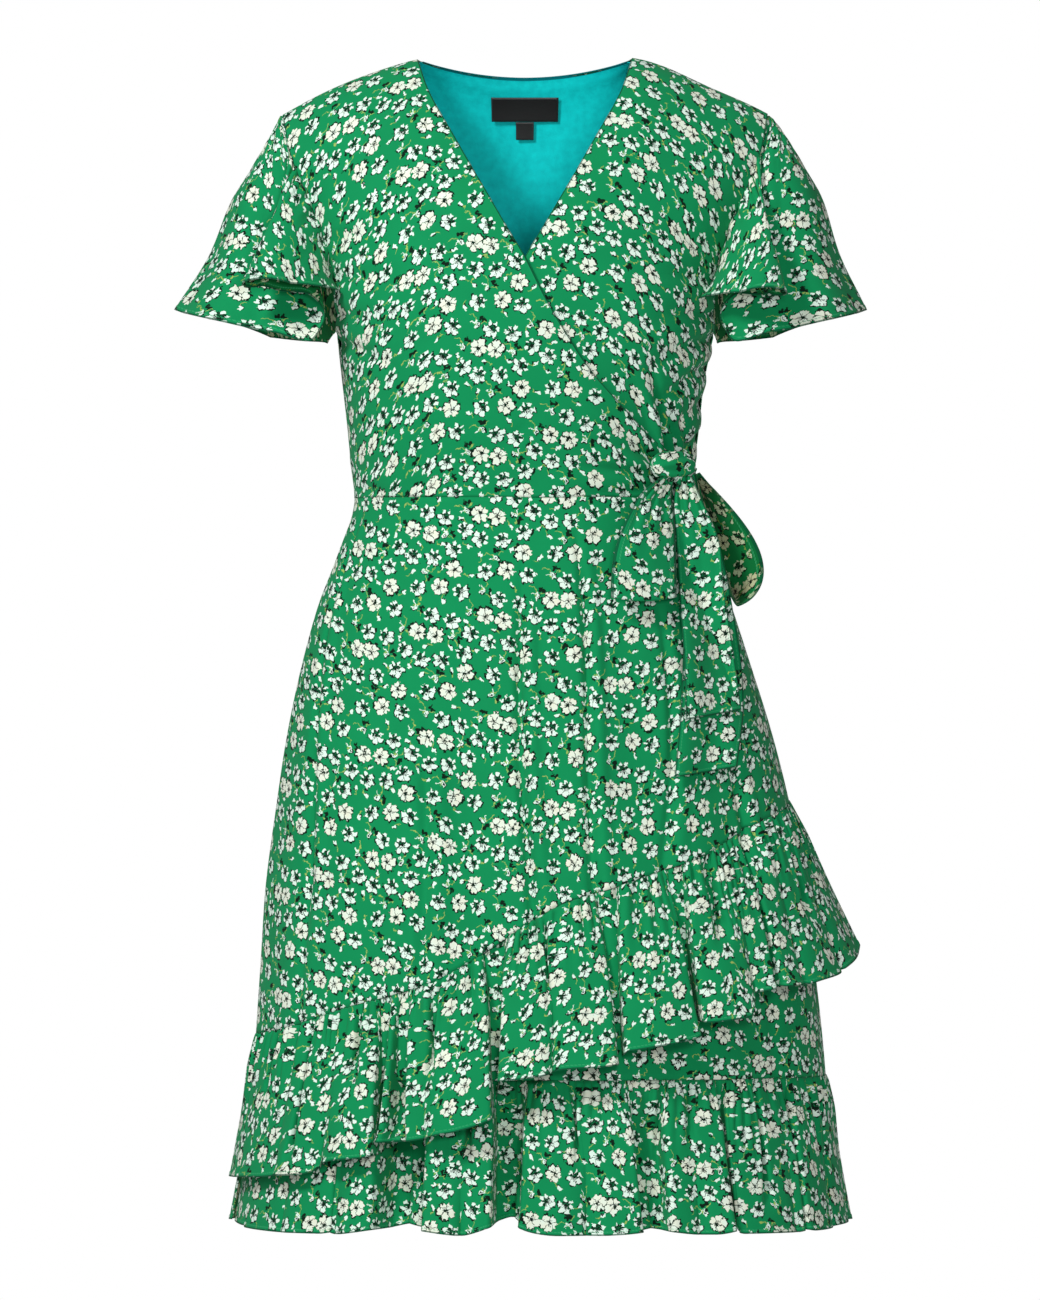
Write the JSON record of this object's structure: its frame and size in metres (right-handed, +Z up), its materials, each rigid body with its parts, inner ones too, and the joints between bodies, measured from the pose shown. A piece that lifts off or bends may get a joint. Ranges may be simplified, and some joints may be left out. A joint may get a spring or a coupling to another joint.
{
  "type": "wrap dress",
  "caption": "Hollow knee-length wrap dress with V neck, flutter sleeves, slanting front ruffle, hem ruffle and side bow in green floral crepe",
  "frame": {"origin": "between the two neck points of the shoulder seams, where the wearer's shoulders carry the dress", "axes": "+Z up the dress, -Y out of the front, +X towards the wearer's left"},
  "size_m": [0.5752, 0.4066, 0.9506],
  "materials": {
    "printed_crepe": "matt green crepe with a white flower print",
    "teal_lining": "soft sheen, turquoise",
    "black_label": "satin woven, plain"
  },
  "bodies": {
    "root": {"bodice_front_overlap": "printed_crepe", "bodice_front_underlap": "printed_crepe", "bodice_back": "printed_crepe", "sleeve_right": "printed_crepe", "sleeve_left": "printed_crepe", "skirt_front_overlap": "printed_crepe", "skirt_front_underlap": "printed_crepe", "skirt_back": "printed_crepe", "ruffle_front_overlap": "printed_crepe", "ruffle_front_underlap": "printed_crepe", "ruffle_back": "printed_crepe", "tie_knot": "printed_crepe", "tie_band": "printed_crepe", "tie_loop_front": "printed_crepe", "tie_loop_side": "printed_crepe", "tie_tail_front": "printed_crepe", "tie_tail_back": "printed_crepe", "bodice_back_lining": "teal_lining", "label_neck": "black_label", "label_size": "black_label"}
  },
  "joints": []
}
